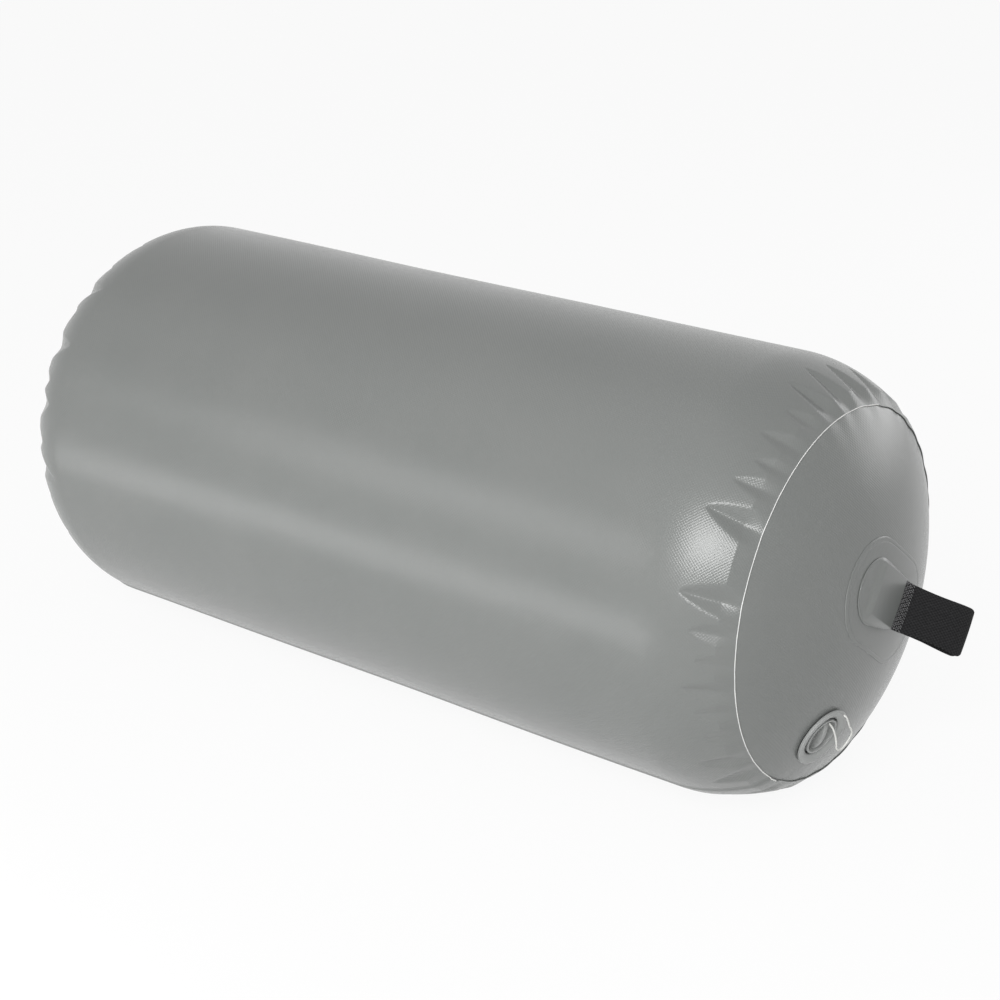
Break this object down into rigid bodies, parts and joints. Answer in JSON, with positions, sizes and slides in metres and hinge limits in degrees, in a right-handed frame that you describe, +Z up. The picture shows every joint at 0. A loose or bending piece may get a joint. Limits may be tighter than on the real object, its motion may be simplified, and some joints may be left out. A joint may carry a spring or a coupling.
{
  "type": "pneumatic fender",
  "caption": "Inflatable cylindrical boat fender with gathered ends, a webbing loop under a cover patch at each end and a recessed air valve with a tethered cap.",
  "frame": {"origin": "on the surface that the fender lies on, under the middle of the tube", "axes": "+X along the tube towards the end with the air valve, +Z up, +Y across"},
  "size_m": [1.1452, 0.4572, 0.4552],
  "materials": {
    "coated_fabric": "satin",
    "webbing": "matte",
    "grey_plastic": "satin",
    "rubber": "matte",
    "spring_steel": "bright",
    "white_cord": "matte"
  },
  "bodies": {
    "root": {"tube_panel": "coated_fabric", "front_end_panel": "coated_fabric", "rear_end_panel": "coated_fabric", "front_base_patch": "coated_fabric", "front_cover_patch": "coated_fabric", "front_webbing_loop": "webbing", "rear_base_patch": "coated_fabric", "rear_cover_patch": "coated_fabric", "rear_webbing_loop": "webbing", "valve_gasket": "rubber", "valve_body": "grey_plastic", "valve_clamp_ring": "grey_plastic", "cap_seal_ring": "rubber", "valve_spring": "spring_steel", "cap_tether": "white_cord"},
    "cap": {"valve_cap": "grey_plastic"},
    "stem": {"valve_stem": "grey_plastic", "valve_seal_disc": "rubber", "valve_poppet": "grey_plastic"}
  },
  "joints": [
    {"name": "cap_turn", "type": "hinge", "parent": "root", "child": "cap", "pos_m": [0.49088, -0.0656, 0.10581], "axis": [0.9336, -0.171, -0.315], "range_deg": [0, 90]},
    {"name": "stem_push", "type": "slide", "parent": "root", "child": "stem", "axis": [-0.9336, 0.171, 0.315], "range_m": [0, 0.005], "stiffness_N_per_m": 600, "springref_m": -0.003, "deforming": ["valve_spring"]}
  ]
}
